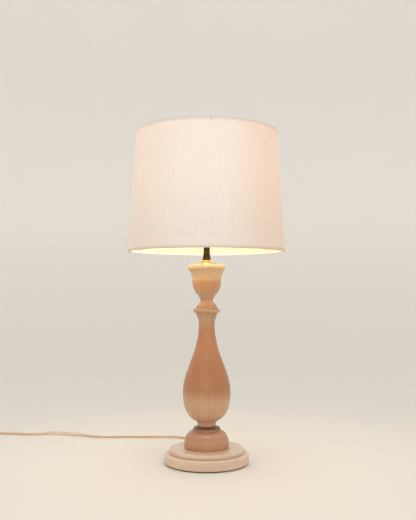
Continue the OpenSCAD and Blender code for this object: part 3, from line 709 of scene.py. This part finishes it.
def wrapped(name, section, start, lap, lift, radius, core=None, slits=()):
    """A strip with a closed section of (r, z), carried once round the shade from the angle start,
    in degrees, and on over its own beginning by lap, where it stands proud by lift. It is lifted
    outwards, or away from the core point (r, z) of the section. At each angle in slits the side
    inside the core is cut back to SLIT_TOP."""
    lap_angle = math.degrees(lap / radius)
    stations = [start + lap_angle + (360 - lap_angle) * i / 240 for i in range(241)]
    stations = [start, start + 0.4 * lap_angle] + stations
    stations += [start + 360 + lap_angle * t for t in (0.15, 0.3, 0.6, 1.0)]
    slits = [start + (angle - start) % 360 for angle in slits]
    for angle in slits:
        stations += [angle + side * edge for side in (-1, 1) for edge in SLIT_EDGES]
    rings = []
    for angle in sorted(stations):
        a = math.radians(angle)
        raised = lift * ease((angle - start - 360 + 0.25 * lap_angle) / (0.4 * lap_angle))
        slit = any(abs(angle - middle) < SLIT_EDGES[0] + 0.01 for middle in slits)
        ring = []
        for r, z in section:
            if slit and r < core[0] and z < SLIT_TOP:
                z = between(SLIT_TOP, z, 0.03)
            out = (Vector((r - core[0], z - core[1])).normalized() if core else Vector((1, 0))) * raised
            ring.append(((r + out.x) * math.cos(a), (r + out.x) * math.sin(a), z + out.y))
        rings.append(ring)
    return mesh_piece(name, *skin(rings), sharp=50)


def cone_strip(outer, thickness):
    """Closed section of a sheet as high as the shade, whose outside radius at z is outer(z)."""
    low, high = SHADE_LOW + EDGE_GAP, SHADE_HIGH - EDGE_GAP
    heights = [between(low, high, i / STRIP_STEPS) for i in range(STRIP_STEPS + 1)]
    return ([(outer(z), z) for z in heights]
            + [(outer(z) - thickness, z) for z in reversed(heights)])


STRIP_STEPS = 24
ARMS = (90, 210, 330)    # the frame's arms, in degrees
SLIT_EDGES = (0.72, 0.85)   # half width of each slit, in degrees, at its inside and its rim
SLIT_TOP = SHADE_HIGH - 0.8
FRONT, BACK = -90, 90
LAP, LAP_LIFT = 10, 0.55                # of the fabric over itself, and how far it stands proud
LINING_LAP, LINING_LIFT = 12, -0.85     # the lining's lap stands inwards
TRIM_LAP, TRIM_LIFT = 9, 0.3
fabric_section = cone_strip(lambda z: fabric_r(z) - 0.1, FABRIC_T)
fabric = wrapped("fabric", fabric_section, BACK, LAP, LAP_LIFT, SHADE_MEAN_R)
place(fabric, "shade", "shade_fabric", slots["shade_fabric"], "shade_fabric")

lining_section = cone_strip(lambda z: inside_r(z) + LINER_T, LINER_T)
lining = wrapped("lining", lining_section, BACK + 4, LINING_LAP, LINING_LIFT, SHADE_MEAN_R)
place(lining, "shade", "shade_lining", slots["shade_lining"], "shade_liner", "liner_seam")

WIRE_R = 1.6
TRIM_W = 5
TRIM_FOLD = 1.3          # radius of its bend over the shade's edge


def trim_section(edge, inward):
    """A tape folded round a wire ring: inward is +1 at the lower edge and -1 at the upper one.
    Gives its closed section, and the core point that it is folded round."""
    in_r = inside_r(edge) - 2 * WIRE_R - 0.3
    out_r = fabric_r(edge) + 0.05 + TRIM_T
    leaf = edge + inward * TRIM_W
    lean = fabric_r(leaf) - fabric_r(edge)
    fold = TRIM_FOLD
    outside = [(out_r + lean, leaf), (out_r + lean * 0.5, edge + inward * TRIM_W * 0.5),
               (out_r, edge + inward * fold)]
    corner = [(out_r - fold + fold * math.cos(a), edge + inward * fold * (1 - math.sin(a)))
              for a in (math.radians(18 * k) for k in range(1, 6))]
    far = [(in_r - TRIM_T + fold - fold * math.sin(a), edge + inward * fold * (1 - math.cos(a)))
           for a in (math.radians(18 * k) for k in range(0, 6))]
    inner_leaf = [(in_r - TRIM_T, leaf)]
    outer_side = outside + corner + far + inner_leaf
    core = ((in_r + out_r) / 2, edge + inward * 3)
    inner_side = []
    for r, z in reversed(outer_side):
        if abs(z - leaf) < 0.01:
            inner_side.append((r - TRIM_T if r > core[0] else r + TRIM_T, z))
        else:
            back = Vector((core[0] - r, core[1] - z))
            if abs(back.x) > 3:
                back.y *= 0.4
            back = back.normalized() * TRIM_T
            inner_side.append((r + back.x, z + back.y))
    return outer_side + inner_side, core


for name, node, edge, inward, start, slits in (
        ("trim_top", "top_trim", SHADE_HIGH, -1, FRONT + 3.4, ARMS),
        ("trim_bottom", "bottom_trim", SHADE_LOW, 1, BACK + 6, ())):
    section, core = trim_section(edge, inward)
    trim = wrapped(name, section, start, TRIM_LAP, TRIM_LIFT, fabric_r(edge), core, slits)
    place(trim, "shade", "trim_tape", slots["trim_tape"], node)


# ---- Harp ----

HARP_WIRE, HARP_TOP, HARP_FOOT_X, HARP_FOOT_Z = 1.6, 604, 30.3, 423.7
BEND_Z, FLARE_R, SIDE_R, TOP_R, FLARE = 452, 25, 86, 45, 40
WIRE_SIDES = 24
flare = math.radians(FLARE)
side_x = HARP_FOOT_X + FLARE_R * (1 - math.cos(flare))
side_z = BEND_Z + FLARE_R * math.sin(flare)
wide_x = side_x + SIDE_R * (1 - math.cos(flare))
wide_z = side_z + SIDE_R * math.sin(flare)
half = ([(HARP_FOOT_X, HARP_FOOT_Z)]
        + arc(HARP_FOOT_X + FLARE_R, BEND_Z, FLARE_R, 180, 180 - FLARE, 12)
        + arc(wide_x - SIDE_R, wide_z, SIDE_R, -FLARE, 0, 20)[1:]
        + arc(wide_x - TOP_R, HARP_TOP - TOP_R, TOP_R, 0, 90, 24))
bow_path = [(x, 0, z) for x, z in half] + [(-x, 0, z) for x, z in reversed(half)]


def round_section(r):
    angles = [2 * math.pi * i / WIRE_SIDES for i in range(WIRE_SIDES)]
    return [(r * math.cos(a), r * math.sin(a)) for a in angles]


def bow_rings(path, r):
    """Rings across a path that lies in the XZ plane."""
    rings = []
    last = len(path) - 1
    for k, p in enumerate(path):
        ahead = (Vector(path[min(k + 1, last)]) - Vector(path[max(k - 1, 0)])).normalized()
        across = Vector((0, 1, 0)).cross(ahead)
        rings.append([tuple(Vector(p) + across * s + Vector((0, u, 0))) for s, u in round_section(r)])
    return rings


eye = ([(2.0, HARP_TOP - HARP_WIRE)] + arc(4.5, HARP_TOP - 1.1, 0.5, -90, 0, 4)
       + arc(4.5, HARP_TOP + 1.1, 0.5, 0, 90, 4) + [(2.0, HARP_TOP + HARP_WIRE)])
bow = mesh_piece("bow", *join_skins([(bow_rings(bow_path, HARP_WIRE), False),
                                     (turned(eye, 48), True)]))
place(bow, "harp", "brass", slots["brass"], "harp_bow")


# ---- Bulb's screw base, rolled as a real thread ----

THREAD_R, THREAD_DEPTH, PITCH = 12.66, 0.33, 3.63
THREAD_LOW, THREAD_HIGH, THREAD_RUNOUT = 457.2, 472.2, 1.5
THREAD_SIDES, THREAD_STEPS = 96, 40
thread_rings = []
for k in range(THREAD_SIDES):
    a = 2 * math.pi * k / THREAD_SIDES
    ring = [(10.55, 455.0), (11.4, 455.0), (12.25, 456.6)]
    for i in range(THREAD_STEPS + 1):
        z = between(THREAD_LOW, THREAD_HIGH, i / THREAD_STEPS)
        wave = math.cos(2 * math.pi * (z - THREAD_LOW) / PITCH - a)
        fade = ease((z - THREAD_LOW) / THREAD_RUNOUT) * ease((THREAD_HIGH - z) / THREAD_RUNOUT)
        ring.append((THREAD_R + THREAD_DEPTH * (wave * fade - (1 - fade) * 0.4), z))
    ring += [(12.9, 473.4), (12.9, 475.7), (12.6, 476.0), (12.2, 476.0)]
    ring += [(11.9, 457.0), (10.55, 456.3)]
    thread_rings.append([(r * math.cos(a), r * math.sin(a), z) for r, z in ring])
screw_base = mesh_piece("screw_base", *skin(thread_rings, closed=True), sharp=40)
place(screw_base, "bulb", "bulb_metal", slots["bulb_metal"], "bulb_base")


# ---- Studio: a pale bowl that serves as floor and walls on every side ----

FLOOR_R, BOWL_R, WALL_TOP = 1500, 1700, 3400
sweep_outline = [(0, 0)] + [(FLOOR_R * k / 6, 0) for k in range(1, 6)]
sweep_outline += arc(FLOOR_R, BOWL_R, BOWL_R, -90, 0, 24) + [(FLOOR_R + BOWL_R, WALL_TOP)]
STUDIO_SIDES = 96
studio_points, studio_faces = [], []
size = len(sweep_outline)
for k in range(STUDIO_SIDES):
    a = 2 * math.pi * k / STUDIO_SIDES
    studio_points += [(r * math.cos(a), r * math.sin(a), z) for r, z in sweep_outline]
for k in range(STUDIO_SIDES):
    n = (k + 1) % STUDIO_SIDES
    for i in range(size - 1):
        studio_faces.append((k * size + i, n * size + i, n * size + i + 1, k * size + i + 1))
studio = mesh_piece("studio", studio_points, studio_faces, sharp=180)
paper, paper_tree, paper_surface = new_material("studio_paper")
paper_noise = noise(paper_tree, place_coords(paper_tree), 3.0, 2.0)
height = put(paper_tree, "SeparateXYZ", {0: place_coords(paper_tree)}).outputs[2]
# The paper is darker on the floor than up the wall: painted shade that holds the floor down under the
# key light.
pale = mix(paper_tree, paper_noise, (0.88, 0.855, 0.815), (0.86, 0.835, 0.795))
rise = fit(paper_tree, height, 0.0, 0.9)
link(paper_tree, mix(paper_tree, rise, (0.765, 0.73, 0.68), pale), paper_surface, "Base Color")
paper_surface.inputs["Roughness"].default_value = 0.8
paper_surface.inputs["Specular IOR Level"].default_value = 0.2
studio.data.materials.append(paper)


def softbox(name, place_at, aim, size, power, colour, spread=180):
    data = bpy.data.lights.new(name, "AREA")
    data.spread = math.radians(spread)
    data.shape = "RECTANGLE"
    data.size, data.size_y = size
    data.energy = power
    data.color = colour
    lamp = bpy.data.objects.new(name, data)
    lamp.location = place_at
    lamp.rotation_euler = (Vector(aim) - Vector(place_at)).to_track_quat("-Z", "Y").to_euler()
    bpy.context.scene.collection.objects.link(lamp)


softbox("key", (0, -1.22, 3.1), (0, 0, 0.05), (1.8, 0.11), 8, (0.97, 0.99, 1.0))
softbox("fill", (0, -2.3, 0.75), (0, 0, 0.32), (1.4, 0.7), 1.1, (1.0, 0.97, 0.93), 80)

world = bpy.data.worlds.new("studio_air")
bpy.context.scene.world = world
world.use_nodes = True
sky = world.node_tree.nodes["Background"]
sky.inputs["Color"].default_value = (1.0, 1.0, 0.99, 1)
sky.inputs["Strength"].default_value = 1.06

bpy.context.scene.view_settings.view_transform = "Standard"
bpy.context.scene.view_settings.look = "None"

bpy.context.view_layer.update()
